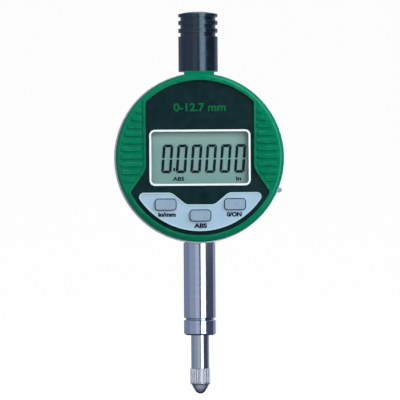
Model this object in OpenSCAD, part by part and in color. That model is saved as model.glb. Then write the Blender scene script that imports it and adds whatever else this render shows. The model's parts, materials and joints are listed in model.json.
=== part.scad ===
// Digital dial indicator with a plunger travel of 12.7 mm.
// Z runs along the spindle, the face looks towards -Y, and X points right as seen from the front.
// The origin lies on the spindle axis, half way along the part of the stem that is clamped.

/* [Case] */
// Diameter of the metal rear case
case_d = 42.6; // [42.4:0.1:43]
// Diameter of the green front shell
shell_d = 41.8; // [41.7:0.1:42]
// Depth of the metal rear case, front to back
case_depth = 11.7; // [11.5:0.1:12.5]
// Depth of the green front shell
shell_depth = 7.5; // [7.5:0.1:7.8]
// Radius of the rounded front edge of the shell
shell_edge_r = 1; // [0.8:0.1:1]
// Radius of the dark face plate
plate_r = 19.27; // [19.1:0.01:19.3]
// Half width of the straight upper part of the face plate
plate_side_x = 13.45; // [13.3:0.05:13.6]
// Height at which the face plate starts to widen, from the case centre
plate_shoulder_z = -2.8; // [-3:0.1:-2.6]
// Angle of the widening sides from the vertical
plate_slant = 34; // [32:1:36]
// Number of grip ribs on each side
rib_count = 10; // [6:1:10]
// Distance from rib to rib
rib_pitch = 1.89; // [1.6:0.01:1.9]

/* [Display] */
// Outer width of the white frame
frame_w = 25.1; // [24.8:0.1:25.4]
// Outer height of the white frame
frame_h = 13.9; // [13.7:0.1:14.3]
// Width of the white line of the frame
frame_line = 0.5; // [0.4:0.05:0.6]
// Number of digits
digit_count = 6; // [4:1:6]
// Height of a digit
digit_h = 7.1; // [6.5:0.1:7.4]
// Width of a digit
digit_w = 2.6; // [2.4:0.02:2.7]
// Distance from digit to digit
digit_pitch = 3.62; // [3.5:0.01:3.65]
// Stroke of a digit
digit_stroke = 0.68; // [0.5:0.02:0.7]
// Lean of the digits
digit_slant = 4.5; // [0:0.5:5]

/* [Keypad] */
// Width of a button
button_w = 4.95; // [4.8:0.01:5.2]
// Height of a button
button_h = 2.55; // [2.4:0.01:2.7]
// Travel of a button
button_travel = 0.4; // [0.3:0.05:0.4]
// Sideways distance of the outer buttons from the middle
button_x = 8.6; // [8.5:0.01:8.7]

/* [Stem and spindle] */
// Diameter of the stem, which a stand or holder clamps
stem_d = 8; // [8:0.01:8.02]
// Length of the stem that can be clamped, down to its groove
clamp_length = 18.8; // [18.6:0.1:19]
// Length of the stem collar under the groove
collar_length = 3.6; // [3.5:0.1:3.8]
// Width of the groove
stem_groove_w = 0.8; // [0.6:0.1:1]
// Diameter of the spindle
spindle_d = 4.5; // [4.4:0.1:4.5]
// Travel of the spindle
travel = 12.7; // [12.5:0.1:12.7]
// Length of spindle that shows under the stem at rest
spindle_exposed = 8.4; // [8.3:0.1:8.5]
// Diameter of the contact point
contact_d = 5.1; // [5:0.05:5.1]
// Diameter of the ball at the tip
ball_d = 3; // [3:0.1:3]
// Diameter of the lift cap
cap_d = 9.9; // [9.7:0.05:10]
// Height of the lift cap
cap_h = 15.1; // [15:0.05:15.3]

/* [Lug back] */
// Diameter of the lug hole
lug_hole_d = 6.5; // [6.35:0.05:6.5]
// Thickness of the lug
lug_t = 5; // [4.8:0.1:5.5]
// Distance of the lug hole behind the back plate
lug_reach = 6.6; // [6.5:0.1:7.5]

/* [Battery] */
// Diameter of the button cell
cell_d = 11.6; // [11.6:0.1:11.6]
// Thickness of the button cell
cell_t = 5.4; // [5.3:0.1:5.4]

/* [Hidden] */
$fn = 72;
eps = 0.02;          // play between pieces that are fixed to each other
past = 1;            // how far a cut runs past the solid it opens
root = 0.5;          // how far a piece added to a solid reaches into it

// Levels along Y: the face looks towards -Y
parting_y = -4.5;
shell_front_y = parting_y - shell_depth;
case_back_y = parting_y + case_depth;
lip_h = 0.3;
lip_w = 0.5;
plate_sink = 0.3;                                  // the plate lies this far behind the shell's front
plate_front_y = shell_front_y + plate_sink;
plate_t = 1;
ledge_y = plate_front_y + plate_t;
floor_t = 0.7;
floor_y = ledge_y + floor_t;
board_t = 1;
board_room = 1.15;                                 // from the board to the parting plane
board_back_y = parting_y - board_room;
board_front_y = board_back_y - board_t;

// Heights: z is measured from the origin, and dial_z is the height of the case centre
spot_face_z = -21.2;                               // from the case centre
dial_z = clamp_length / 2 - spot_face_z;
case_r = case_d / 2;
case_inner_r = 18.9;
shell_r = shell_d / 2;
shell_inner_r = 19.5;
block_z = 14;                                      // inner end of the bearing blocks, from the case centre
block_half_w = 5.2;
stem_end_z = -clamp_length / 2 - stem_groove_w - collar_length;
contact_play = 0.2;                                // round the contact point when it is drawn into the stem
top_play = 0.6;
counterbore_r = contact_d / 2 + contact_play;
counterbore_top_z = stem_end_z + travel - spindle_exposed + top_play;
bush_r = 3;
slide_play = 0.03;                                 // of a rod in the bore it slides in
bush_bore_r = spindle_d / 2 + slide_play;
bush_l = 10;
shank_r = 3.7;
seat_z = dial_z + spot_face_z;
contact_top_z = stem_end_z - spindle_exposed;
contact_knurl_l = 3.75;
contact_point_l = 6.4;
tip_z = contact_top_z - contact_point_l;
cap_base_z = 21.75;                                // from the case centre
cap_bottom_z = dial_z + cap_base_z;
cap_top_z = cap_bottom_z + cap_h;
cap_roof_t = 1.6;
cap_inner_r = 3.75;
tube_r = 3.5;
tube_bore_r = 2.7;
tube_room = 0.3;                                   // over the neck tube when the cap is down
tube_top_z = cap_top_z - cap_roof_t - tube_room;
thread_r = 1.25;

// The sliding carrier, the guide rod and the spring
bumper_t = 1;
stop_gap = 0.05;                                   // left between pieces that come to rest on each other
carrier_bottom_z = dial_z - block_z + bumper_t + stop_gap;
carrier_h = 13.95;
carrier_half_w = 5;
strip_y = [-5.4, -4.8];
rod_x = -9;
rod_r = 1;
arm_h = 3.4;
spring_r = 1.7;
wire_r = 0.18;
spring_turns = 14;

// The battery tray slides out towards +X
tray_z = dial_z - 8.1;
tray_half_h = 6.5;
tray_y = [0.2, 6.4];
tray_x0 = 5.9;
cell_x = 12.4;
tray_gap = 0.15;

// Screws
lug_screw_at = [7, 16.9];
shell_screw_at = 12.6;
board_screw_at = [16.4, 3.5];

// ---- 2D helpers: outlines in X and Z, measured from the case centre ----

// Points of an arc about c
function arc(c, r, a0, a1, n) =
    [for (i = [0:n]) let (a = a0 + (a1 - a0) * i / n) [c[0] + r * cos(a), c[1] + r * sin(a)]];

// A half outline on the right, closed by its mirror image on the left
function mirrored(half) =
    concat(half, [for (i = [len(half) - 2:-1:1]) [-half[i][0], half[i][1]]]);

// Centre of a rounding of radius r between a line, met at p and running along d, and a circle of radius R
function corner_centre(p, d, R, r) =
    let (b = p * d, c = p * p - (R - r) * (R - r)) p + (-b + sqrt(b * b - c)) * d;

// Face plate, grown by g on every side
plate_blend_r = 4;
plate_corner_r = 0.8;
function plate_outline(g) =
    let (
        R = plate_r + g,
        x = plate_side_x + g,
        z = plate_shoulder_z + g * tan(plate_slant / 2),
        f = plate_blend_r - g,
        rc = plate_corner_r + g,
        n = [cos(plate_slant), sin(plate_slant)],
        d = [sin(plate_slant), -cos(plate_slant)],
        low = corner_centre([x, z] - rc * n, d, R, rc),
        top = [x - rc, sqrt((R - rc) * (R - rc) - (x - rc) * (x - rc))],
        top_a = atan2(top[1], top[0]),
        low_a = atan2(low[1], low[0])
    )
    mirrored(concat(
        arc([0, 0], R, 90, top_a, 20),
        arc(top, rc, top_a, 0, 6),
        arc([x + f, z + f * tan(plate_slant / 2)], f, 180, 180 + plate_slant, 8),
        arc(low, rc, plate_slant, low_a, 6),
        arc([0, 0], R, low_a, -90, 26)
    ));

// Keypad panel, grown by g on every side
panel_r = 18.2;
panel_top_z = -8.63;
panel_corner_r = 1.1;
notch_z = -11.59;
notch_half_w = [3.55, 7.1];
notch_blend_r = 2.2;
function panel_outline(g) =
    let (
        slope = atan2(panel_top_z - notch_z, notch_half_w[1] - notch_half_w[0]),
        shift = -g * tan(slope / 2),
        R = panel_r + g,
        rc = panel_corner_r + g,
        top = panel_top_z + g,
        cz = top - rc,
        cx = sqrt((R - rc) * (R - rc) - cz * cz),
        outer = notch_blend_r + g,
        inner = notch_blend_r - g,
        upper = notch_half_w[1] + shift + outer * tan(slope / 2),
        lower = notch_half_w[0] + shift - inner * tan(slope / 2),
        low_a = atan2(cz, cx)
    )
    mirrored(concat(
        [[0, notch_z + g]],
        arc([lower, notch_z + g + inner], inner, -90, -90 + slope, 6),
        arc([upper, top - outer], outer, 90 + slope, 90, 6),
        arc([cx, cz], rc, 90, low_a, 8),
        arc([0, 0], R, low_a, -90, 26)
    ));

module rounded_rect(w, h, r) {
    square([w - 2 * r, h], center = true);
    square([w, h - 2 * r], center = true);
    for (x = [-1, 1], z = [-1, 1])
        translate([x * (w / 2 - r), z * (h / 2 - r)]) circle(r);
}

// ---- 3D helpers ----

// A flat piece between two levels of Y, from a child drawn in X and Z about the case centre
module slab(front_y, back_y)
    translate([0, back_y, dial_z]) rotate([90, 0, 0]) linear_extrude(back_y - front_y) children();

// The same, drawn about the point (x, z) measured from the case centre
module slab_at(x, z, front_y, back_y)
    translate([x, 0, z]) slab(front_y, back_y) children();

// A round piece along Y at (x, z), measured from the case centre
module disc(x, z, r, front_y, back_y)
    slab_at(x, z, front_y, back_y) circle(r);

// A round piece along Z on the spindle axis
module rod_z(r, z0, z1)
    translate([0, 0, z0]) cylinder(r = r, h = z1 - z0);

// A box between two corners
module box(low, high)
    translate(low) cube(high - low);

// ---- Case ----

module at_lug_screws()
    for (x = [-1, 1], z = [-1, 1]) translate([x * lug_screw_at[0], 0, z * lug_screw_at[1]]) children();

module at_shell_screws()
    for (x = [-1, 1], z = [-1, 1]) translate([x * shell_screw_at, 0, z * shell_screw_at]) children();

module at_board_screws()
    for (x = [-1, 1], z = [-1, 1])
        translate([x * board_screw_at[0], 0, z * board_screw_at[1]]) children();

ear_t = 1.6;
spigot_l = 0.9;
spigot_play = 0.1;
boss_room = 0.2;                 // round the screw bosses of the shell
screw_r = 0.9;
screw_head_r = 1.7;
screw_head_h = 1.1;
lug_boss_l = 5;
block_back_y = 5;
block_outer_z = 19.8;            // outer ends of the blocks, inside the wall of the case
rod_block = [2.2, 2.4];          // half width and half depth of the blocks that hold the guide rod
rod_block_outer_z = 17.6;
rod_socket = 2.5;
lug_boss_r = 2;
lug_thread_l = 4.5;
ear_r = 2.1;
head_room = 0.15;                // sideways play of a screw head
hole_play = 0.1;                 // round a screw in a plain hole
tray_slot_x0 = 10.9;             // inner end of the tray's slot, in the hollow of the case

module rear_case() color("silver") difference() {
    union() {
        difference() {
            union() {
                disc(0, 0, case_r, parting_y, case_back_y);
                disc(0, 0, shell_inner_r - spigot_play, parting_y - spigot_l, parting_y);
            }
            disc(0, 0, case_inner_r, parting_y - spigot_l - past, case_back_y + past);
            // Room in the spigot for the screw bosses of the shell
            at_shell_screws() disc(0, 0, shell_boss_r + boss_room, parting_y - spigot_l - past, parting_y);
        }
        // Bearing blocks for the stem and the neck tube, and small blocks for the guide rod
        translate([0, 0, dial_z]) for (s = [0, 1]) mirror([0, 0, s]) {
            box([-block_half_w, parting_y, block_z], [block_half_w, block_back_y, block_outer_z]);
            translate([rod_x, 0, 0])
                box([-rod_block[0], -rod_block[1], block_z], [rod_block[0], rod_block[1], rod_block_outer_z]);
        }
        at_lug_screws() disc(0, 0, lug_boss_r, case_back_y - lug_boss_l, case_back_y);
        at_shell_screws() disc(0, 0, ear_r, parting_y, parting_y + ear_t);
    }
    // Seat and bore of the stem, below, and bore of the neck tube, above
    rod_z(stem_d / 2 + eps, dial_z - case_r - past, seat_z);
    rod_z(shank_r + eps, dial_z - case_r - past, dial_z - block_z + past);
    rod_z(tube_r + eps, dial_z + block_z - past, dial_z + case_r + past);
    // Sockets of the guide rod
    translate([rod_x, 0, dial_z]) rod_z(rod_r + eps, -block_z - rod_socket, block_z + rod_socket);
    at_lug_screws() disc(0, 0, screw_r + eps, case_back_y - lug_thread_l, case_back_y + past);
    at_shell_screws() {
        disc(0, 0, screw_r + hole_play, parting_y - past, parting_y + ear_t + past);
        // Room in the wall for the screw heads and the screwdriver
        disc(0, 0, screw_head_r + head_room, parting_y + ear_t, case_back_y + past);
    }
    // Slot that the battery tray slides in
    box([tray_slot_x0, tray_y[0] - tray_gap, tray_z - tray_half_h - tray_gap],
        [case_r + past, tray_y[1] + tray_gap, tray_z + tray_half_h + tray_gap]);
}

rib_r = 0.45;
rib_h = 0.35;
rib_top_z = 11.65;
rib_outer_r = 19.5;
rib_clear = 0.9;                 // from the edge of the face plate to the ribs

// Sideways distance of the face plate's edge at height z
function plate_edge(z) =
    plate_side_x + max(0, plate_shoulder_z - z) * tan(plate_slant);

// Where a rib at height z starts and ends
function rib_span(z) = [
    plate_edge(z) + rib_clear / (z < plate_shoulder_z ? cos(plate_slant) : 1) + rib_r,
    sqrt(pow(rib_outer_r - rib_r, 2) - z * z)
];

module grip_ribs()
    slab(shell_front_y - rib_h, shell_front_y + root)
        for (i = [0:rib_count - 1], side = [-1, 1]) {
            z = rib_top_z - i * rib_pitch;
            span = rib_span(z);
            translate([side * span[0], z]) circle(rib_r, $fn = 24);
            translate([side * span[1], z]) circle(rib_r, $fn = 24);
            translate([side * (span[0] + span[1]) / 2, z])
                square([span[1] - span[0], 2 * rib_r], center = true);
        }

boss_half_w = 3.7;
boss_root_z = 18;
boss_top_z = 21.5;
lcd_size = [25.4, 14.6];
lcd_room = 0.3;                  // in width and height, round the display in the shell
plunger_r = 1;
plunger_play = 0.25;
shell_boss_r = 1.9;
shell_thread_l = 4;
board_post_r = 1.5;
board_screw_r = 0.6;
board_thread_l = 2.6;

module front_shell() color("seagreen") difference() {
    union() {
        difference() {
            union() {
                translate([0, parting_y, dial_z]) rotate([90, 0, 0]) rotate_extrude() {
                    square([shell_r - shell_edge_r, shell_depth]);
                    square([shell_r, shell_depth - shell_edge_r]);
                    translate([shell_r - shell_edge_r, shell_depth - shell_edge_r])
                        intersection() { circle(shell_edge_r); square(shell_edge_r); }
                }
                // Flat boss under the lift cap
                slab(shell_front_y + shell_edge_r, parting_y) translate([-boss_half_w, boss_root_z])
                    square([2 * boss_half_w, boss_top_z - boss_root_z]);
                // Raised lip round the face plate
                slab(shell_front_y - lip_h, shell_front_y + root) polygon(plate_outline(lip_w));
                grip_ribs();
            }
            disc(0, 0, shell_inner_r, floor_y, parting_y + past);
        }
        at_shell_screws() disc(0, 0, shell_boss_r, floor_y, parting_y);
        at_board_screws() disc(0, 0, board_post_r, floor_y, board_front_y);
    }
    slab(shell_front_y - lip_h - past, ledge_y) polygon(plate_outline(0));
    slab(shell_front_y, floor_y + past)
        square([lcd_size[0] + lcd_room, lcd_size[1] + lcd_room], center = true);
    for (b = BUTTONS) disc(b[0], b[1], plunger_r + plunger_play, ledge_y - past, floor_y + past);
    at_shell_screws() disc(0, 0, screw_r + eps, parting_y - shell_thread_l, parting_y + past);
    at_board_screws() disc(0, 0, board_screw_r + eps, board_front_y - board_thread_l, board_front_y + past);
}

seam = 0.05;                     // between pieces let into each other
module face_plate() color("darkslategray") difference() {
    slab(plate_front_y, ledge_y) polygon(plate_outline(-seam));
    slab(plate_front_y - past, ledge_y + past) rounded_rect(window_w, window_h, window_r);
    slab(plate_front_y - past, ledge_y + past) polygon(panel_outline(seam));
}

// ---- Display ----

window_w = frame_w - 2 * frame_line;
window_h = frame_h - 2 * frame_line;
window_r = 0.9;
lcd_t = 2;
lcd_front_y = ledge_y + 0.1;
lcd_y = [lcd_front_y, lcd_front_y + lcd_t];
frame_rise = 0.2;
window_sink = 0.15;

module display_frame() color("white") slab(plate_front_y - frame_rise, plate_front_y) difference() {
    rounded_rect(frame_w, frame_h, window_r + frame_line);
    rounded_rect(window_w, window_h, window_r);
}

module display_window() color([0.8, 0.9, 0.9, 0.4])
    slab(plate_front_y + window_sink, ledge_y - seam)
        rounded_rect(window_w - 2 * seam, window_h - 2 * seam, window_r);

module lcd_panel() color("lightslategray") slab(lcd_y[0], lcd_y[1]) square(lcd_size, center = true);

// One digit of seven segments with its middle bar off, so it shows a nought.
// Its corners are cut at 45 degrees, and the cut is shared by the two segments that meet there.
segment_gap = 0.07;
segment_tip = 0.2;
digit_corner = 0.4;
module nought() {
    w = digit_w / 2;
    h = digit_h / 2;
    s = digit_stroke;
    g = segment_gap;
    c = digit_corner;
    for (v = [-1, 1]) scale([1, v]) {
        polygon(mirrored([
            [0, h], [w - c, h], [w - c / 2 - g, h - c / 2], [w - s - g, h - s], [0, h - s]
        ]));
        for (u = [-1, 1]) scale([u, 1]) polygon([
            [w, h - c], [w, segment_tip + g], [w - s / 2, g], [w - s, segment_tip + g],
            [w - s, h - s - g], [w - c / 2, h - c / 2 - g]
        ]);
    }
}

digit_z = -0.25;
first_digit_x = -8.1;
point_at = [-6.38, -2.9];
point_size = [0.46, 0.84];
segment_t = 0.04;
module lcd_segments() color("black") {
    for (i = [0:digit_count - 1])
        slab_at(first_digit_x + i * digit_pitch, digit_z, lcd_y[0] - segment_t, lcd_y[0])
            multmatrix([[1, tan(digit_slant), 0, 0], [0, 1, 0, 0], [0, 0, 1, 0], [0, 0, 0, 1]]) nought();
    slab_at(point_at[0], point_at[1], lcd_y[0] - segment_t, lcd_y[0]) square(point_size, center = true);
}

holder_wall = 1.4;
holder_inner = [lcd_size[0] + 0.2, lcd_size[1] + 0.2];
holder_ledge = [0.8, holder_inner[1] + 0.2];
ledge_x = lcd_size[0] / 2 - 0.3;
module lcd_holder() color("gainsboro") {
    slab(floor_y, board_front_y) difference() {
        square([holder_inner[0] + 2 * holder_wall, holder_inner[1] + 2 * holder_wall], center = true);
        square(holder_inner, center = true);
    }
    // Ledges under the two ends of the panel
    for (x = [-1, 1]) slab_at(x * ledge_x, 0, lcd_y[1], board_front_y) square(holder_ledge, center = true);
}

zebra_z = 6.2;
zebra_size = [23, 1.8];
module zebra_strips() color("dimgray")
    for (z = [-1, 1]) slab_at(0, z * zebra_z, lcd_y[1], board_front_y) square(zebra_size, center = true);

// ---- Board ----

board_r = 18.6;
board_notch = 0.3;               // round the screw bosses of the shell
module main_board() color("darkgreen") slab(board_front_y, board_back_y) difference() {
    circle(board_r);
    for (x = [-1, 1], z = [-1, 1]) {
        translate([x, z] * shell_screw_at) circle(shell_boss_r + board_notch);
        translate([x * board_screw_at[0], z * board_screw_at[1]]) circle(board_screw_r + 0.15);
    }
}

chip = [7, 5, 1.2];
capacitor = [0.8, 1.6, 0.8];
capacitor_x = [-8, -6, 6, 8];
capacitor_z = -2;
crystal_r = 0.75;
crystal_l = 6;
crystal_z = 12;
module board_parts() color("black") {
    slab(board_front_y - chip[2], board_front_y) square([chip[0], chip[1]], center = true);
    for (x = capacitor_x) slab_at(x, capacitor_z, board_front_y - capacitor[2], board_front_y)
        square([capacitor[0], capacitor[1]], center = true);
    translate([-crystal_l / 2, board_front_y - crystal_r, dial_z + crystal_z]) rotate([0, 90, 0])
        cylinder(r = crystal_r, h = crystal_l);
}

dome_h = 0.3;
dome_r = 1.6;
module snap_domes() color("silver")
    for (b = BUTTONS) disc(b[0], b[1], dome_r, board_front_y - dome_h, board_front_y);

board_head_r = 1.15;
board_head_h = 0.7;
tip_room = 0.4;                  // between a screw's tip and the end of its hole
module board_screws() color("silver") at_board_screws() {
    disc(0, 0, board_screw_r, board_front_y - board_thread_l + tip_room, board_back_y);
    disc(0, 0, board_head_r, board_back_y, board_back_y + board_head_h);
}

// ---- Keypad ----

BUTTONS = [[-button_x, -11.58], [0, -14.34], [button_x, -11.58]];
panel_rise = 0.4;                // over the face plate
panel_t = 0.4;                   // in front of the pockets
panel_front_y = plate_front_y - panel_rise;
panel_rim = 0.3;
panel_rim_h = 0.12;
pocket_y = panel_front_y + panel_t;
pocket_edge = 0.5;               // the pocket is wider than the button by this, on each side
pocket_r = 0.9;
flange_h = 0.45;
flange_edge = 0.36;
flange_r = 0.8;
flange_y = pocket_y + stop_gap;
button_rise = 0.6;
button_front_y = panel_front_y - button_rise;
button_r = 0.64;
button_gap = 0.22;
dome_gap = 0.1;                  // left over the dome when the button is down

module keypad_panel() color("lightsteelblue") difference() {
    union() {
        slab(panel_front_y, ledge_y) polygon(panel_outline(0));
        slab(panel_front_y - panel_rim_h, panel_front_y) difference() {
            polygon(panel_outline(0));
            polygon(panel_outline(-panel_rim));
        }
    }
    for (b = BUTTONS) {
        slab_at(b[0], b[1], panel_front_y - past, ledge_y)
            rounded_rect(button_w + 2 * button_gap, button_h + 2 * button_gap, button_r + button_gap);
        slab_at(b[0], b[1], pocket_y, ledge_y + past)
            rounded_rect(button_w + 2 * pocket_edge, button_h + 2 * pocket_edge, pocket_r);
    }
}

module button(at) {
    slab_at(at[0], at[1], button_front_y, flange_y + flange_h / 2)
        rounded_rect(button_w, button_h, button_r);
    slab_at(at[0], at[1], flange_y, flange_y + flange_h)
        rounded_rect(button_w + 2 * flange_edge, button_h + 2 * flange_edge, flange_r);
    disc(at[0], at[1], plunger_r, flange_y + flange_h / 2, board_front_y - dome_h - button_travel - dome_gap);
}

module button_in_mm() color("lightgray") button(BUTTONS[0]);
module button_abs() color("lightgray") button(BUTTONS[1]);
module button_on() color("lightgray") button(BUTTONS[2]);

// ---- Screws of the case ----

module shell_screws() color("silver") at_shell_screws() {
    disc(0, 0, screw_r, parting_y - shell_thread_l + tip_room, parting_y + ear_t);
    difference() {
        disc(0, 0, screw_head_r, parting_y + ear_t, parting_y + ear_t + screw_head_h);
        cross_slot(parting_y + ear_t + screw_head_h);
    }
}

// The cross in a screw head whose top is at back_y
cross_l = 1.8;
cross_w = 0.4;
cross_depth = 0.5;
module cross_slot(back_y)
    slab(back_y - cross_depth, back_y + past) {
        square([cross_l, cross_w], center = true);
        square([cross_w, cross_l], center = true);
    }

// ---- Lug back ----

back_t = 1.6;
back_r = 20.8;
lug_end_r = 5.4;
back_y = case_back_y + back_t;
lug_y = back_y + lug_reach;
counterbore_h = 0.9;

module lug_back() color("silver") difference() {
    union() {
        disc(0, 0, back_r, case_back_y, back_y);
        translate([0, 0, dial_z]) {
            box([-lug_t / 2, back_y - root, -lug_end_r], [lug_t / 2, lug_y, lug_end_r]);
            translate([-lug_t / 2, lug_y, 0]) rotate([0, 90, 0]) cylinder(r = lug_end_r, h = lug_t);
        }
    }
    translate([-lug_t / 2 - past, lug_y, dial_z]) rotate([0, 90, 0])
        cylinder(r = lug_hole_d / 2, h = lug_t + 2 * past);
    at_lug_screws() {
        disc(0, 0, screw_r + hole_play, case_back_y - past, back_y + past);
        disc(0, 0, screw_head_r + head_room, back_y - counterbore_h, back_y + past);
    }
}

module lug_back_screws() color("silver") at_lug_screws() {
    disc(0, 0, screw_r, case_back_y - lug_thread_l + tip_room, back_y - counterbore_h);
    difference() {
        disc(0, 0, screw_head_r, back_y - counterbore_h, back_y);
        cross_slot(back_y);
    }
}

// ---- Stem, neck and bushes ----

stem_chamfer = 0.4;
stem_groove_depth = 0.5;
groove_chamfer = 0.15;
module stem() color("lightgray") difference() {
    union() {
        rod_z(stem_d / 2, stem_end_z + stem_chamfer, seat_z);
        translate([0, 0, stem_end_z])
            cylinder(r1 = stem_d / 2 - stem_chamfer, r2 = stem_d / 2, h = stem_chamfer);
        rod_z(shank_r, seat_z, dial_z - block_z);
    }
    rod_z(counterbore_r, stem_end_z - past, counterbore_top_z);
    rod_z(bush_r + eps, counterbore_top_z, dial_z);
    // Groove with chamfered edges
    rotate_extrude() translate([stem_d / 2, -clamp_length / 2 - stem_groove_w]) polygon([
        [-stem_groove_depth, groove_chamfer],
        [-groove_chamfer, groove_chamfer],
        [groove_chamfer, -groove_chamfer],
        [groove_chamfer, stem_groove_w + groove_chamfer],
        [-groove_chamfer, stem_groove_w - groove_chamfer],
        [-stem_groove_depth, stem_groove_w - groove_chamfer]
    ]);
}

module bush(r, z0, z1) difference() {
    rod_z(r, z0, z1);
    rod_z(bush_bore_r, z0 - past, z1 + past);
}

module lower_bush() color("peru") bush(bush_r, counterbore_top_z, counterbore_top_z + bush_l);

module neck_tube() color("lightgray") difference() {
    rod_z(tube_r, dial_z + block_z, tube_top_z);
    rod_z(tube_bore_r, dial_z, tube_top_z + past);
}

upper_bush_depth = 2;            // below the top of the neck tube
upper_bush_top_z = tube_top_z - upper_bush_depth;
module upper_bush() color("peru")
    bush(tube_bore_r - eps, upper_bush_top_z - bush_l, upper_bush_top_z);

bumper_r = 3.6;
bumper_play = 0.2;
module stop_bumper() color("black") difference() {
    rod_z(bumper_r, dial_z - block_z, dial_z - block_z + bumper_t);
    rod_z(spindle_d / 2 + bumper_play, dial_z - block_z - past, dial_z + past);
}

rod_half_l = block_z + rod_socket - 0.1;
module guide_rod() color("silver") translate([rod_x, 0, dial_z]) rod_z(rod_r, -rod_half_l, rod_half_l);

// ---- Return spring: a coil about the guide rod, between the arm and the upper block ----

spring_z = [carrier_bottom_z + arm_h + wire_r + stop_gap, dial_z + block_z - wire_r - stop_gap];
steps_per_turn = 16;
wire_sides = 6;
spring_points = [
    for (i = [0:spring_turns * steps_per_turn], k = [0:wire_sides - 1])
        let (
            a = 360 * i / steps_per_turn,
            rise = (spring_z[1] - spring_z[0]) * i / (spring_turns * steps_per_turn),
            b = 360 * k / wire_sides,
            r = spring_r + wire_r * cos(b)
        )
        [rod_x + r * cos(a), r * sin(a), spring_z[0] + rise + wire_r * sin(b)]
];
spring_faces = concat(
    [[for (k = [0:wire_sides - 1]) k]],
    [
        for (i = [0:spring_turns * steps_per_turn - 1], k = [0:wire_sides - 1])
            let (j = (k + 1) % wire_sides, p = i * wire_sides)
            [p + k, p + wire_sides + k, p + wire_sides + j, p + j]
    ],
    [[for (k = [wire_sides - 1:-1:0]) spring_turns * steps_per_turn * wire_sides + k]]
);
module return_spring() color("silver") polyhedron(spring_points, spring_faces, convexity = 10);

// ---- Battery tray, cell and contacts ----

tray_wall = 0.5;
cell_play = 0.1;
contact_gap_half_w = 2;          // gap in the tray's end for the side contact
lip_x = [18.8, 20.1, 20.83];     // root, start of the taper, and tip of the finger lip
lip_half_h = [0.7, 0.35];        // at the root and at the tip
module battery_tray() color("lightsteelblue") difference() {
    union() {
        intersection() {
            box([tray_x0, tray_y[0], tray_z - tray_half_h], [case_r, tray_y[1], tray_z + tray_half_h]);
            disc(0, 0, case_r - seam, tray_y[0], tray_y[1]);
        }
        // Finger lip
        translate([0, tray_y[1], tray_z]) rotate([90, 0, 0]) linear_extrude(tray_y[1] - tray_y[0])
            polygon([
                [lip_x[0], -lip_half_h[0]], [lip_x[0], lip_half_h[0]], [lip_x[1], lip_half_h[0]],
                [lip_x[2], lip_half_h[1]], [lip_x[2], -lip_half_h[1]], [lip_x[1], -lip_half_h[0]]
            ]);
    }
    // Round seat of the cell, open towards the front, and a gap for the side contact
    translate([cell_x, 0, tray_z]) rotate([90, 0, 0]) translate([0, 0, -tray_y[1] + tray_wall])
        cylinder(r = cell_d / 2 + cell_play, h = tray_y[1]);
    box([tray_x0 - past, tray_y[0] - past, tray_z - contact_gap_half_w],
        [cell_x - cell_d / 4, tray_y[1] - tray_wall, tray_z + contact_gap_half_w]);
}

cell_cap_h = 0.4;
cell_shoulder = 1.2;
module battery_cell() color("silver") translate([cell_x, tray_y[1] - tray_wall - eps, tray_z])
    rotate([90, 0, 0]) {
        cylinder(r = cell_d / 2, h = cell_t - cell_cap_h);
        cylinder(r = cell_d / 2 - cell_shoulder, h = cell_t);
    }

contact_t = 0.2;
contact_half_w = 1.2;
plus_x = tray_x0 - 0.45;
plus_y = 3;
plus_tab = 1.6;                  // length of the end that faces the cell's rim
plus_reach = cell_x - cell_d / 2 - cell_play;
// A leaf that stands on the board and reaches through the gap of the tray to the rim of the cell
module contact_plus() color("gold") {
    box([plus_x, board_back_y, tray_z - contact_half_w],
        [plus_x + contact_t, plus_y, tray_z + contact_half_w]);
    box([plus_x, plus_y, tray_z - contact_half_w],
        [plus_reach, plus_y + contact_t, tray_z + contact_half_w]);
    box([plus_reach - contact_t, plus_y, tray_z - contact_half_w],
        [plus_reach, plus_y + plus_tab, tray_z + contact_half_w]);
}

// A leaf in front of the cap of the cell, with its foot on the board
leaf_y = -0.15;
leaf_x = [cell_x - 3, cell_x + 3];
module contact_minus() color("gold") {
    box([leaf_x[0], leaf_y, tray_z - contact_half_w],
        [leaf_x[1], leaf_y + contact_t, tray_z + contact_half_w]);
    box([leaf_x[1] - contact_t, board_back_y, tray_z - contact_half_w],
        [leaf_x[1], leaf_y + contact_t, tray_z + contact_half_w]);
}

// ---- Everything that moves with the spindle ----

stud_l = 4;
cap_thread_l = 2.8;
spindle_top_z = upper_bush_top_z + 0.3;
module spindle() color("lightgray") difference() {
    union() {
        rod_z(spindle_d / 2, contact_top_z, spindle_top_z);
        rod_z(thread_r - eps, spindle_top_z, spindle_top_z + cap_thread_l);
    }
    rod_z(thread_r, contact_top_z - past, contact_top_z + stud_l + 1);
}

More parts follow.
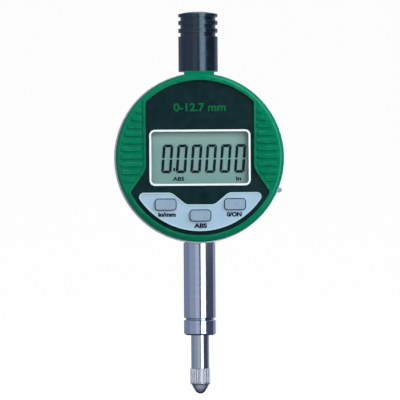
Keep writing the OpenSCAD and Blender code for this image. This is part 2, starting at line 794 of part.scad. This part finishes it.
ball_z = tip_z + ball_d / 2;
flute_count = 24;
flute_r = 0.25;
flute_out = 0.05;                // the flutes are cut about a circle this far outside the knurl
flute_end = 0.1;
knurl_chamfer = 0.25;
knurl_end_z = contact_top_z - contact_knurl_l;
cone_r = [2.17, 1.68, 1.44];     // under the knurl, at the ball's rim, and at the end
cone_z = [knurl_end_z - 0.35, ball_z - 0.2, ball_z - 0.5];
module contact_point() color("gray") difference() {
    union() {
        rod_z(thread_r - eps, contact_top_z - root, contact_top_z + stud_l);
        rotate_extrude() polygon([
            [0, contact_top_z],
            [contact_d / 2 - knurl_chamfer, contact_top_z],
            [contact_d / 2, contact_top_z - knurl_chamfer],
            [contact_d / 2, knurl_end_z],
            [cone_r[0], cone_z[0]],
            [cone_r[1], cone_z[1]],
            [cone_r[2], cone_z[2]],
            [0, cone_z[2]]
        ]);
    }
    translate([0, 0, ball_z]) sphere(ball_d / 2 + eps / 2);
    for (i = [0:flute_count - 1])
        rotate([0, 0, 360 * i / flute_count]) translate([contact_d / 2 + flute_out, 0, 0])
            rod_z(flute_r, knurl_end_z + flute_end, contact_top_z + past, $fn = 16);
}

module contact_ball() color("dimgray") translate([0, 0, ball_z]) sphere(ball_d / 2);

cap_r = cap_d / 2;
cap_groove_r = 4.4;
cap_groove_w = 1;
cap_groove_pitch = 1.98;
cap_first_groove = 1.35;
cap_dome_r = 20;
cap_boss_play = 0.4;             // of the boss in the neck tube
thread_room = 0.2;
module lift_cap() color("darkslategray") difference() {
    rotate_extrude() difference() {
        intersection() {
            translate([0, cap_bottom_z]) square([cap_r, cap_h]);
            translate([0, cap_top_z - cap_dome_r]) circle(cap_dome_r, $fn = 360);
        }
        for (i = [0:2])
            translate([cap_groove_r, cap_top_z - cap_first_groove - i * cap_groove_pitch - cap_groove_w])
                square([cap_r, cap_groove_w]);
    }
    // Room for the neck tube, round the boss that takes the spindle's thread
    difference() {
        rod_z(cap_inner_r, cap_bottom_z - past, cap_top_z - cap_roof_t);
        rod_z(tube_bore_r - cap_boss_play, spindle_top_z, cap_top_z);
    }
    rod_z(thread_r, spindle_top_z - past, spindle_top_z + cap_thread_l + thread_room);
}

carrier_back_y = 3.2;
arm_end_x = rod_x - 2;
arm_half_t = 1.9;
carrier_play = 0.01;
set_screw_r = 0.8;
set_screw_l = 0.9;
set_screw_z = [3, 11];
socket_r = 0.4;
socket_y = 0.5;
module scale_carrier() color("gray") difference() {
    union() {
        box([-carrier_half_w, strip_y[1], carrier_bottom_z],
            [carrier_half_w, carrier_back_y, carrier_bottom_z + carrier_h]);
        box([arm_end_x, -arm_half_t, carrier_bottom_z], [0, arm_half_t, carrier_bottom_z + arm_h]);
    }
    rod_z(spindle_d / 2 + carrier_play, carrier_bottom_z - past, carrier_bottom_z + carrier_h + past);
    translate([rod_x, 0, 0])
        rod_z(rod_r + slide_play, carrier_bottom_z - past, carrier_bottom_z + arm_h + past);
    for (z = set_screw_z) translate([0, 0, carrier_bottom_z + z]) rotate([-90, 0, 0])
        cylinder(r = set_screw_r + eps, h = carrier_back_y + past);
}

module carrier_screws() color("black")
    for (z = set_screw_z)
        translate([0, spindle_d / 2 + carrier_play, carrier_bottom_z + z]) rotate([-90, 0, 0]) difference() {
            cylinder(r = set_screw_r, h = set_screw_l);
            translate([0, 0, socket_y]) cylinder(r = socket_r, h = past, $fn = 6);
        }

strip_half_w = 5;
strip_z = [-15, 4];              // from the case centre
module scale_strip() color("darkgreen")
    box([-strip_half_w, strip_y[0], dial_z + strip_z[0]], [strip_half_w, strip_y[1], dial_z + strip_z[1]]);

rear_case();
front_shell();
face_plate();
display_frame();
display_window();
lcd_panel();
lcd_segments();
lcd_holder();
zebra_strips();
main_board();
board_parts();
snap_domes();
board_screws();
keypad_panel();
button_in_mm();
button_abs();
button_on();
shell_screws();
lug_back();
lug_back_screws();
stem();
lower_bush();
neck_tube();
upper_bush();
stop_bumper();
guide_rod();
return_spring();
contact_plus();
contact_minus();
battery_tray();
battery_cell();
spindle();
contact_point();
contact_ball();
lift_cap();
scale_carrier();
scale_strip();
carrier_screws();
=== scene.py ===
"""Looks of the digital dial indicator: materials, printed marks, rounded edges, light and camera."""

import json
import math

import bpy
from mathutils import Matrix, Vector


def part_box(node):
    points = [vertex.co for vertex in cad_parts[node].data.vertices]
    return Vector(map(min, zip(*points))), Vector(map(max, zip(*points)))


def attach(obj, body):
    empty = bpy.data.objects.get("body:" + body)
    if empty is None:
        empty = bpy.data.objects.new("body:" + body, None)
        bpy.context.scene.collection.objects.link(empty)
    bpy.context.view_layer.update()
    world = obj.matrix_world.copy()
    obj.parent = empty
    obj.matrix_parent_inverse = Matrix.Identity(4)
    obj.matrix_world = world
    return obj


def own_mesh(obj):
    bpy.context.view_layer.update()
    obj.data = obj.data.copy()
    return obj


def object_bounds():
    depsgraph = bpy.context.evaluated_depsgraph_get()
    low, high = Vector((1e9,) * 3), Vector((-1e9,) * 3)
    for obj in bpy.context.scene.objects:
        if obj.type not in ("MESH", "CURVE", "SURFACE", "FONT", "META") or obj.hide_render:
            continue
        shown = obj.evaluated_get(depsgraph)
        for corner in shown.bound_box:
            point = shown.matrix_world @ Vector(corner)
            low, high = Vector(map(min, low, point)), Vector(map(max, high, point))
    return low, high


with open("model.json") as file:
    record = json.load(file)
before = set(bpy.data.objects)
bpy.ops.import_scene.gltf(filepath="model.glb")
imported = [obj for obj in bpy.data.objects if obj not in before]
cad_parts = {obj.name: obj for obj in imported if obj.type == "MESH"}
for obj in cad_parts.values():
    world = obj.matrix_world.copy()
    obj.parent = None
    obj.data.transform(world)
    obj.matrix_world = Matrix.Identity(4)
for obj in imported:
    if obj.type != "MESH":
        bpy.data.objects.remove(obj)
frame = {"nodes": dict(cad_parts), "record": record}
CAD_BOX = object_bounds()
NODES = frame["nodes"]
MM = 0.001


# ---------------------------------------------------------------- places from the frame

case_low, case_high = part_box("rear_case")
DIAL = (case_low + case_high) / 2                  # centre of the case; its X and Z are the dial's
PLATE_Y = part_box("face_plate")[0].y
PANEL_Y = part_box("keypad_panel")[0].y
PANEL_RIM = 0.12 * MM                              # how far the rim stands above the panel
FILM_Y = PANEL_Y + PANEL_RIM                       # the panel's flat inside its rim
LCD_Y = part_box("lcd_panel")[0].y


# ---------------------------------------------------------------- material building blocks

class Shader:
    """A Principled material with helpers for the nodes that give it detail."""

    FLAT, SHARP = 0.995, 0.85                      # cosine by which rounding turns a normal
    OPEN, CLOSED = 0.85, 0.35                      # share of open sky over flat ground and in a gap
    LOW, HIGH = 0.3, 0.7                           # where a noise's soft patches begin and end

    def __init__(self, name, color, roughness, metallic=0.0, gloss=0.5):
        self.material = bpy.data.materials.new(name)
        self.material.use_nodes = True
        self.material.diffuse_color = (*color, 1.0)
        self.tree = self.material.node_tree
        self.bsdf = next(n for n in self.tree.nodes if n.type == "BSDF_PRINCIPLED")
        self.color = color
        self.roughness = roughness
        self.coords = self.add("ShaderNodeTexCoord").outputs["Object"]
        self.color_out = None
        self.normal = None
        self.set(Metallic=metallic, Specular_IOR_Level=gloss, Roughness=roughness, Base_Color=(*color, 1.0))

    def put(self, socket, value):
        """Plugs another node's output in, or sets a plain value."""
        if isinstance(value, bpy.types.NodeSocket):
            self.tree.links.new(value, socket)
        else:
            socket.default_value = value

    def fill(self, node, values):
        for key, value in values.items():
            self.put(node.inputs[key.replace("_", " ")], value)

    def add(self, kind, **values):
        """A new node with its inputs filled in, with _ for a space in a name."""
        node = self.tree.nodes.new(kind)
        self.fill(node, values)
        return node

    def set(self, **values):
        """Sets sockets of the Principled shader, with _ for a space in a name."""
        self.fill(self.bsdf, values)
        return self

    def along(self, axis):
        """The place along X, Y or Z."""
        return self.add("ShaderNodeSeparateXYZ", Vector=self.coords).outputs[axis]

    def noise(self, size, stretch=(1, 1, 1), detail=4.0):
        """Noise whose patches measure about size metres."""
        vector = self.coords
        if stretch != (1, 1, 1):
            vector = self.add("ShaderNodeMapping", Vector=vector, Scale=stretch).outputs["Vector"]
        node = self.add("ShaderNodeTexNoise", Vector=vector, Scale=1.0 / size, Detail=detail, Roughness=0.55)
        return node.outputs["Fac"]

    def ramp(self, value, low, high, to_low=0.0, to_high=1.0):
        """Value scaled so that low becomes to_low and high becomes to_high."""
        node = self.add("ShaderNodeMapRange", Value=value, From_Min=low, From_Max=high)
        self.fill(node, {"To Min": to_low, "To Max": to_high})
        return node.outputs["Result"]

    def multiply(self, a, b):
        node = self.tree.nodes.new("ShaderNodeMath")
        node.operation = "MULTIPLY"
        for socket, value in zip(node.inputs, (a, b)):
            self.put(socket, value)
        return node.outputs[0]

    def blend_colors(self, factor, a, b):
        node = self.tree.nodes.new("ShaderNodeMix")
        node.data_type = "RGBA"
        # A mix node has sockets for every type of data; these are the factor and the two colours
        for index, value in ((0, factor), (6, a), (7, b)):
            is_color = index > 0 and not isinstance(value, bpy.types.NodeSocket)
            self.put(node.inputs[index], (*value, 1.0) if is_color else value)
        return node.outputs[2]

    def tint(self, factor, color):
        """Blends a colour in where factor is high."""
        self.color_out = self.blend_colors(factor, self.color_out or self.color, color)
        return self

    def vary(self, size, amount, stretch=(1, 1, 1)):
        """Lightens and darkens the colour in soft patches."""
        dark = [c * (1 - amount) for c in self.color]
        light = [min(1.0, c * (1 + amount)) for c in self.color]
        patches = self.ramp(self.noise(size, stretch), self.LOW, self.HIGH)
        self.color_out = self.blend_colors(patches, dark, light)
        return self

    def edges(self, radius):
        """1 along sharp edges and 0 on flat ground."""
        bevel = self.add("ShaderNodeBevel", Radius=radius)
        bevel.samples = 6
        geometry = self.add("ShaderNodeNewGeometry")
        dot = self.tree.nodes.new("ShaderNodeVectorMath")
        dot.operation = "DOT_PRODUCT"
        self.put(dot.inputs[0], bevel.outputs["Normal"])
        self.put(dot.inputs[1], geometry.outputs["Normal"])
        return self.ramp(dot.outputs["Value"], self.FLAT, self.SHARP)

    def wear_and_highlight(self, radius, color, strength=0.5):
        """Lightens edges, broken up by noise, as handling does; on the green shell it is a painted
        highlight.
        """
        patches = self.ramp(self.noise(2 * MM), 0.4, 0.65)
        factor = self.multiply(self.edges(radius), self.multiply(patches, strength))
        return self.tint(factor, color)

    def crevice_shade(self, distance, color, strength):
        """Paints shade into corners and gaps narrower than about distance."""
        node = self.add("ShaderNodeAmbientOcclusion", Distance=distance)
        node.samples = 8
        return self.tint(self.ramp(node.outputs["AO"], self.OPEN, self.CLOSED, 0.0, strength), color)

    def rough(self, size, spread, stretch=(1, 1, 1)):
        """Varies the roughness in soft patches."""
        low, high = self.roughness - spread, self.roughness + spread
        return self.set(Roughness=self.ramp(self.noise(size, stretch), self.LOW, self.HIGH, low, high))

    def bump(self, size, depth, stretch=(1, 1, 1), detail=4.0):
        """Adds fine relief depth metres high, in grains of about size metres."""
        grain = self.noise(size, stretch, detail)
        node = self.add("ShaderNodeBump", Height=grain, Distance=depth, Strength=1.0)
        if self.normal is not None:
            self.put(node.inputs["Normal"], self.normal)
        self.normal = node.outputs["Normal"]
        return self

    def done(self):
        if self.color_out is not None:
            self.set(Base_Color=self.color_out)
        if self.normal is not None:
            self.set(Normal=self.normal)
        return self.material


def srgb(red, green, blue):
    """Linear colour of an sRGB colour given from 0 to 255."""
    def linear(value):
        value /= 255
        return value / 12.92 if value <= 0.04045 else ((value + 0.055) / 1.055) ** 2.4
    return linear(red), linear(green), linear(blue)


# ---------------------------------------------------------------- materials

SHADOW = srgb(26, 34, 48)                          # painted shade in the gaps round the keys


def green_plastic():
    s = Shader("green_plastic", srgb(0, 120, 85), 0.13, gloss=0.35)
    s.set(Specular_Tint=(0.3, 1.0, 0.78, 1.0))
    # Painted shade in the corners, at the ribs' feet and round the lip
    s.vary(6 * MM, 0.06).crevice_shade(0.5 * MM, srgb(0, 70, 52), 0.4)
    # Painted highlight on the rounded edges, lips and rib ends, broken up by noise like wear
    s.wear_and_highlight(0.35 * MM, srgb(80, 185, 145), 0.35)
    s.rough(1.5 * MM, 0.03).bump(0.25 * MM, 0.001 * MM).bump(3 * MM, 0.002 * MM)
    return s.done()


def dark_plate():
    s = Shader("dark_plate", srgb(9, 36, 40), 0.2, gloss=0.15)
    s.vary(4 * MM, 0.12).rough(2 * MM, 0.05)
    s.bump(0.12 * MM, 0.0015 * MM)
    return s.done()


def white_frame():
    s = Shader("white_frame", srgb(236, 248, 252), 0.3, gloss=0.2)
    s.vary(3 * MM, 0.03).rough(1 * MM, 0.05).bump(0.2 * MM, 0.001 * MM)
    return s.done()


def clear_window():
    s = Shader("clear_window", srgb(90, 102, 106), 0.06)
    s.vary(5 * MM, 0.03).rough(4 * MM, 0.02).bump(8 * MM, 0.0008 * MM)
    s.set(Alpha=0.04, IOR=1.49)
    s.material.surface_render_method = "BLENDED"
    return s.done()


def display_glass():
    s = Shader("display_glass", srgb(126, 167, 163), 0.25, gloss=0.1)
    s.vary(9 * MM, 0.03).rough(2 * MM, 0.04).bump(0.3 * MM, 0.0006 * MM)
    # Painted light: the glass is paler towards the top, lifting the shade that the frame casts there
    s.tint(s.ramp(s.along("Z"), DIAL.z + 2.5 * MM, DIAL.z + 5 * MM), srgb(146, 184, 178))
    return s.done()


def display_ink():
    s = Shader("display_ink", srgb(4, 16, 30), 0.5, gloss=0.02)
    s.vary(1 * MM, 0.1).rough(0.5 * MM, 0.05)
    return s.done()


def printed_ink():
    s = Shader("printed_ink", srgb(4, 16, 30), 0.55, gloss=0.02)
    s.vary(0.6 * MM, 0.15).rough(0.4 * MM, 0.06).bump(0.1 * MM, 0.001 * MM)
    return s.done()


def green_ink():
    s = Shader("green_ink", srgb(4, 98, 56), 0.5, gloss=0.05)
    s.vary(0.8 * MM, 0.1).rough(0.4 * MM, 0.06).bump(0.1 * MM, 0.001 * MM)
    return s.done()


def keypad_film():
    s = Shader("keypad_film", srgb(162, 192, 215), 0.3, gloss=0.15)
    s.vary(5 * MM, 0.05).rough(1 * MM, 0.05).bump(0.15 * MM, 0.002 * MM)
    # The rim stands above the film and is paler; the walls round the keys get painted shade
    depth = s.along("Y")
    level = PANEL_Y + PANEL_RIM / 2
    s.tint(s.ramp(depth, level + 0.02 * MM, level - 0.02 * MM), srgb(176, 214, 222))
    s.tint(s.ramp(depth, FILM_Y + 0.06 * MM, FILM_Y + 0.14 * MM), SHADOW)
    return s.done()


def key_plastic():
    s = Shader("key_plastic", srgb(141, 165, 186), 0.28, gloss=0.2)
    s.vary(2 * MM, 0.05).wear_and_highlight(0.2 * MM, srgb(205, 210, 222), 0.4)
    s.rough(0.8 * MM, 0.06).bump(0.12 * MM, 0.0015 * MM)
    # Painted shade on the key's sides and flange below the panel's face, down in the gap round the key
    s.tint(s.ramp(s.along("Y"), PANEL_Y - 0.1 * MM, FILM_Y), SHADOW)
    return s.done()


def cap_plastic():
    s = Shader("cap_plastic", srgb(3, 14, 26), 0.22, gloss=0.76)
    s.set(Specular_Tint=(0.64, 0.8, 1.0, 1.0))
    # Painted shade in the cap's grooves and corners
    s.vary(3 * MM, 0.15).crevice_shade(0.8 * MM, srgb(2, 5, 8), 0.8)
    s.wear_and_highlight(0.25 * MM, srgb(95, 108, 122), 0.4)
    s.rough(1 * MM, 0.06).bump(0.2 * MM, 0.002 * MM)
    # Faint rings left by the mould's turning
    s.bump(0.5 * MM, 0.002 * MM, stretch=(0.1, 0.1, 4))
    return s.done()


def cast_metal():
    s = Shader("cast_metal", srgb(196, 200, 206), 0.34, 1.0)
    s.vary(5 * MM, 0.05).wear_and_highlight(0.3 * MM, srgb(240, 242, 246), 0.5)
    s.rough(3 * MM, 0.03).bump(0.3 * MM, 0.0006 * MM, detail=0.0)
    return s.done()


def ground_steel(name, color, roughness, ring=0.08):
    """Steel ground on a lathe: fine rings round the Z axis."""
    s = Shader(name, color, roughness, 1.0)
    around = (0.02, 0.02, 1)
    s.vary(ring * 6 * MM, 0.05, around).wear_and_highlight(0.2 * MM, srgb(235, 238, 244), 0.5)
    # Painted shade in the grooves and corners of the steel
    s.crevice_shade(0.5 * MM, srgb(52, 58, 76), 0.9)
    s.rough(ring * MM, 0.03, around).bump(ring * MM, 0.0003 * MM, around)
    s.bump(1.5 * MM, 0.0005 * MM)
    return s.done()


def bronze():
    s = Shader("bronze", srgb(176, 132, 82), 0.35, 1.0)
    s.vary(1 * MM, 0.08).rough(0.3 * MM, 0.08).bump(0.2 * MM, 0.002 * MM)
    return s.done()


def circuit_board():
    s = Shader("circuit_board", srgb(20, 92, 52), 0.35)
    s.vary(1.2 * MM, 0.1).rough(1 * MM, 0.06)
    # Copper traces under the lacquer, as straight bands in two directions
    for stretch in ((1, 1, 0.05), (0.05, 1, 1)):
        trace = s.ramp(s.noise(0.9 * MM, stretch, detail=0.0), 0.55, 0.57)
        s.tint(s.multiply(trace, 0.35), srgb(60, 140, 80))
    s.bump(0.9 * MM, 0.01 * MM, (1, 1, 0.05), 0.0)
    return s.done()


def plain_plastic(name, color, roughness):
    s = Shader(name, color, roughness)
    s.vary(1.5 * MM, 0.08).wear_and_highlight(0.2 * MM, [min(1, 1.5 * c + 0.05) for c in color], 0.3)
    s.rough(0.6 * MM, 0.06).bump(0.15 * MM, 0.002 * MM)
    return s.done()


def plain_metal(name, color, roughness):
    s = Shader(name, color, roughness, 1.0)
    s.vary(0.8 * MM, 0.06).wear_and_highlight(0.15 * MM, srgb(235, 236, 240), 0.5)
    s.rough(0.4 * MM, 0.07).bump(0.1 * MM, 0.0015 * MM)
    return s.done()


steel = ground_steel("stem_steel", srgb(170, 176, 192), 0.14)
spindle_steel = ground_steel("spindle_steel", srgb(174, 178, 188), 0.12, 0.05)
screw_steel = plain_metal("screw_steel", srgb(170, 170, 174), 0.3)
metal = cast_metal()
key = key_plastic()
rubber = plain_plastic("rubber", srgb(38, 38, 40), 0.8)
leaf = plain_metal("contact_leaf", srgb(214, 188, 120), 0.25)
bush_bronze = bronze()
board = circuit_board()
segment_ink = display_ink()

MATERIALS = {
    "rear_case": metal,
    "lug_back": metal,
    "front_shell": green_plastic(),
    "face_plate": dark_plate(),
    "display_frame": white_frame(),
    "display_window": clear_window(),
    "lcd_panel": display_glass(),
    "lcd_segments": segment_ink,
    "lcd_holder": plain_plastic("holder_plastic", srgb(228, 228, 222), 0.5),
    "zebra_strips": rubber,
    "stop_bumper": rubber,
    "main_board": board,
    "board_parts": plain_plastic("chip_epoxy", srgb(30, 30, 32), 0.6),
    "snap_domes": plain_metal("snap_dome_steel", srgb(200, 200, 202), 0.25),
    "board_screws": screw_steel,
    "shell_screws": screw_steel,
    "lug_back_screws": screw_steel,
    "carrier_screws": screw_steel,
    "keypad_panel": keypad_film(),
    "button_in_mm": key,
    "button_abs": key,
    "button_on": key,
    "stem": steel,
    "neck_tube": steel,
    "guide_rod": steel,
    "spindle": spindle_steel,
    "lower_bush": bush_bronze,
    "upper_bush": bush_bronze,
    "return_spring": plain_metal("spring_steel", srgb(176, 178, 184), 0.22),
    "contact_plus": leaf,
    "contact_minus": leaf,
    "battery_tray": plain_plastic("tray_plastic", srgb(128, 150, 166), 0.35),
    "battery_cell": plain_metal("cell_steel", srgb(205, 206, 208), 0.18),
    "contact_point": ground_steel("contact_steel", srgb(208, 204, 208), 0.3),
    "contact_ball": plain_metal("carbide", srgb(150, 152, 162), 0.16),
    "lift_cap": cap_plastic(),
    "scale_carrier": plain_metal("carrier_metal", srgb(180, 182, 188), 0.4),
    "scale_strip": board,
}

for name, material in MATERIALS.items():
    slots = NODES[name].data.materials
    slots.clear()
    slots.append(material)


# ---------------------------------------------------------------- rounded edges on the CAD pieces

# Radius in mm on each piece that shows
EDGE_ROUNDING = {
    "front_shell": 0.2,
    "face_plate": 0.08,
    "display_frame": 0.07,
    "keypad_panel": 0.05,
    "button_in_mm": 0.22,
    "button_abs": 0.22,
    "button_on": 0.22,
    "rear_case": 0.15,
    "lug_back": 0.25,
    "lug_back_screws": 0.08,
    "battery_tray": 0.1,
}

WELD_DISTANCE = 0.001 * MM
ROUNDED_FROM = math.radians(35)                    # edges that turn less are left as they are

for name, radius in EDGE_ROUNDING.items():
    piece = NODES[name]
    weld = piece.modifiers.new("weld", "WELD")
    weld.merge_threshold = WELD_DISTANCE
    bevel = piece.modifiers.new("rounding", "BEVEL")
    bevel.width = radius * MM
    bevel.segments = 3
    bevel.limit_method = "ANGLE"
    bevel.angle_limit = ROUNDED_FROM
    bevel.use_clamp_overlap = True
    bevel.harden_normals = True


# ---------------------------------------------------------------- the return spring, which the spindle's slide deforms, gets a mesh of its own

joints = frame["record"]["behaviour"]["joints"]
slide = next(joint for joint in joints if joint["name"] == "spindle_slide")
deforming = slide["deforming_nodes"][0]
spring = NODES[deforming["node"]]
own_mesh(spring)


# ---------------------------------------------------------------- printed marks

INK_THICKNESS = 0.02 * MM


def mark(name, words, width, height, centre, face_y, material, bold):
    """Printed words of a given size on a face that looks towards -Y, centred at (x, z) from the dial."""
    curve = bpy.data.curves.new(name + "_curve", "FONT")
    curve.body = words
    curve.align_x = "CENTER"
    curve.size = 1.0
    curve.offset = bold
    curve.resolution_u = 6
    curve.extrude = 0.01                           # only tells front from back; see below
    drawn = bpy.data.objects.new(name + "_curve", curve)
    bpy.context.scene.collection.objects.link(drawn)
    bpy.context.view_layer.update()
    mesh = bpy.data.meshes.new_from_object(drawn.evaluated_get(bpy.context.evaluated_depsgraph_get()))
    bpy.data.objects.remove(drawn)
    xs = [v.co.x for v in mesh.vertices]
    ys = [v.co.y for v in mesh.vertices]
    scale_x = width * MM / (max(xs) - min(xs))
    scale_z = height * MM / (max(ys) - min(ys))
    middle_x = (max(xs) + min(xs)) / 2
    middle_y = (max(ys) + min(ys)) / 2
    for v in mesh.vertices:
        flat = v.co.copy()
        v.co.x = DIAL.x + centre[0] * MM + (flat.x - middle_x) * scale_x
        v.co.y = face_y - (INK_THICKNESS if flat.z > 0 else -INK_THICKNESS / 2)
        v.co.z = DIAL.z + centre[1] * MM + (flat.y - middle_y) * scale_z
    mesh.materials.clear()
    mesh.materials.append(material)
    piece = bpy.data.objects.new(name, mesh)
    bpy.context.scene.collection.objects.link(piece)
    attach(piece, "housing")


ink = printed_ink()
mark("label_in_mm", "in/mm", 4.35, 1.15, (-8.28, -14.05), FILM_Y, ink, 0.055)
mark("label_abs", "ABS", 3.2, 1.2, (0.0, -16.85), FILM_Y, ink, 0.055)
mark("label_on", "0/ON", 3.7, 1.15, (8.38, -14.1), FILM_Y, ink, 0.055)
mark("display_abs", "ABS", 2.85, 1.05, (-5.33, -5.22), LCD_Y, segment_ink, 0.04)
mark("display_in", "in", 1.35, 1.05, (9.6, -5.22), LCD_Y, segment_ink, 0.04)
mark("range_mark", "0-12.7 mm", 13.0, 2.1, (0.0, 12.5), PLATE_Y, green_ink(), 0.03)


# ---------------------------------------------------------------- camera

CAMERA_DISTANCE = 0.8
CAMERA_AZIMUTH = math.radians(-1.4)
CAMERA_ROLL = math.radians(0.4)
PICTURE_WIDTH = 0.1006                             # width of the view at the spindle axis
SENSOR = 36.0
AIM = Vector((0.00022, 0.0, 0.0201))

camera_data = bpy.data.cameras.new("camera")
camera_data.sensor_width = SENSOR
camera_data.lens = SENSOR * CAMERA_DISTANCE / PICTURE_WIDTH
camera = bpy.data.objects.new("camera", camera_data)
bpy.context.scene.collection.objects.link(camera)
away = Vector((math.sin(CAMERA_AZIMUTH), -math.cos(CAMERA_AZIMUTH), 0))
camera.location = AIM + CAMERA_DISTANCE * away
camera.rotation_euler = (math.radians(90), CAMERA_ROLL, CAMERA_AZIMUTH)
bpy.context.scene.camera = camera


# ---------------------------------------------------------------- stage and light

def emitter(name, color, strength, body=0.0):
    material = bpy.data.materials.new(name)
    material.use_nodes = True
    bsdf = next(n for n in material.node_tree.nodes if n.type == "BSDF_PRINCIPLED")
    bsdf.inputs["Base Color"].default_value = (*[body * c for c in color], 1.0)
    bsdf.inputs["Emission Color"].default_value = (*color, 1.0)
    bsdf.inputs["Emission Strength"].default_value = strength
    bsdf.inputs["Roughness"].default_value = 0.9
    return material


def studio_bowl():
    """A floor that curves up into a wall all round, so that no horizon shows."""
    floor_z = CAD_BOX[0].z - 0.03
    flat, bend, wall_top, steps, around = 1.2, 0.5, 2.2, 10, 64
    profile = [(0.0, 0.0), (flat, 0.0)]
    for i in range(1, steps + 1):
        a = math.pi / 2 * i / steps
        profile.append((flat + bend * math.sin(a), bend * (1 - math.cos(a))))
    profile.append((flat + bend, wall_top))
    vertices, faces = [], []
    for radius, height in profile:
        for k in range(around):
            a = 2 * math.pi * k / around
            vertices.append((radius * math.cos(a), radius * math.sin(a), floor_z + height))
    for i in range(len(profile) - 1):
        for k in range(around):
            j = (k + 1) % around
            faces.append((i * around + k, i * around + j, (i + 1) * around + j, (i + 1) * around + k))
    mesh = bpy.data.meshes.new("studio_bowl")
    mesh.from_pydata(vertices, [], faces)
    mesh.materials.append(emitter("studio_white", (1.0, 1.0, 1.0), 0.72, 0.6))
    for polygon in mesh.polygons:
        polygon.use_smooth = True
    bowl = bpy.data.objects.new("studio_bowl", mesh)
    bpy.context.scene.collection.objects.link(bowl)
    bowl.visible_diffuse = False


CARD_RADIUS = 0.45
CARD_BOTTOM = CAD_BOX[0].z - 0.029
CARD_TOP = 0.7


def card(name, start, end, color, strength, bottom=CARD_BOTTOM, top=CARD_TOP):
    """A curved card that only shows in reflections; angles are degrees to the right of the camera."""
    steps = 12
    vertices, faces = [], []
    for i in range(steps + 1):
        a = math.radians(start + (end - start) * i / steps)
        x, y = CARD_RADIUS * math.sin(a), -CARD_RADIUS * math.cos(a)
        vertices += [(x, y, bottom), (x, y, top)]
    for i in range(steps):
        faces.append((2 * i, 2 * i + 1, 2 * i + 3, 2 * i + 2))
    reflected_only(name, vertices, faces, color, strength)


def flat_card(name, height, half_width, y_range, color, strength):
    """A level card above or below the object that only shows in reflections."""
    front, back = y_range
    corners = [(-half_width, front), (half_width, front), (half_width, back), (-half_width, back)]
    reflected_only(name, [(x, y, height) for x, y in corners], [(0, 1, 2, 3)], color, strength)


def reflected_only(name, vertices, faces, color, strength):
    mesh = bpy.data.meshes.new(name)
    mesh.from_pydata(vertices, [], faces)
    mesh.materials.append(emitter(name, color, strength))
    piece = bpy.data.objects.new(name, mesh)
    bpy.context.scene.collection.objects.link(piece)
    piece.visible_camera = False
    piece.visible_diffuse = False
    piece.visible_transmission = False
    piece.visible_shadow = False


LAMP_DISTANCE = 0.7


def softbox(name, azimuth, elevation, width, height, power):
    """A rectangular light that faces the dial, azimuth degrees to the right of the camera."""
    data = bpy.data.lights.new(name, "AREA")
    data.shape = "RECTANGLE"
    data.size = width
    data.size_y = height
    data.energy = power
    lamp = bpy.data.objects.new(name, data)
    a, e = math.radians(azimuth), math.radians(elevation)
    direction = Vector((math.sin(a) * math.cos(e), -math.cos(a) * math.cos(e), math.sin(e)))
    lamp.location = DIAL + LAMP_DISTANCE * direction
    lamp.rotation_euler = direction.to_track_quat("Z", "Y").to_euler()
    lamp.visible_camera = False
    lamp.visible_glossy = False
    bpy.context.scene.collection.objects.link(lamp)


world = bpy.data.worlds.new("studio")
bpy.context.scene.world = world
world.use_nodes = True
background = next(n for n in world.node_tree.nodes if n.type == "BACKGROUND")
background.inputs["Color"].default_value = (1.0, 1.0, 1.0, 1.0)
background.inputs["Strength"].default_value = 0.3

studio_bowl()
card("card_right_bright", 8.5, 41, (0.8, 0.96, 1.0), 4.5)
# Dark beside the stem and the cap, lighter beside the case
card("card_right_low", 41, 112, (0.07, 0.076, 0.125), 1.0, top=case_low.z)
card("card_right_case", 41, 112, (0.42, 0.45, 0.52), 1.0, bottom=case_low.z, top=case_high.z)
card("card_right_high", 41, 112, (0.06, 0.08, 0.11), 1.0, bottom=case_high.z)
card("card_right_back", 112, 180, srgb(158, 168, 188), 1.4)
card("card_left_back", -180, -148, srgb(92, 102, 126), 1.0)
card("card_left_far", -148, -80, (0.34, 0.41, 0.55), 1.0)
card("card_left_middle", -80, -32, (0.52, 0.58, 0.7), 1.0)
card("card_left_near", -32, -3, (0.8, 0.87, 0.95), 1.0)
card("card_camera_gap", -3, 8.5, srgb(40, 44, 60), 0.3)
# Under the stem the floor is light in front and dark behind
WHOLE = (-CARD_RADIUS, CARD_RADIUS)
DARK_START, DARK_SIZE = -0.007, 0.07
flat_card("card_floor", CARD_BOTTOM, CARD_RADIUS, WHOLE, srgb(164, 172, 194), 0.9)
flat_card("card_floor_dark", CARD_BOTTOM + MM, DARK_SIZE, (DARK_START, DARK_SIZE), srgb(66, 72, 98), 0.8)
flat_card("card_roof", CARD_TOP, CARD_RADIUS, WHOLE, srgb(100, 110, 135), 0.45)
softbox("key_light", 48, 22, 0.5, 0.6, 4.2)
softbox("top_light", 10, 60, 0.5, 0.5, 2.0)
softbox("fill_light", -35, 0, 0.5, 0.6, 0.8)

bpy.context.scene.view_settings.view_transform = "Standard"
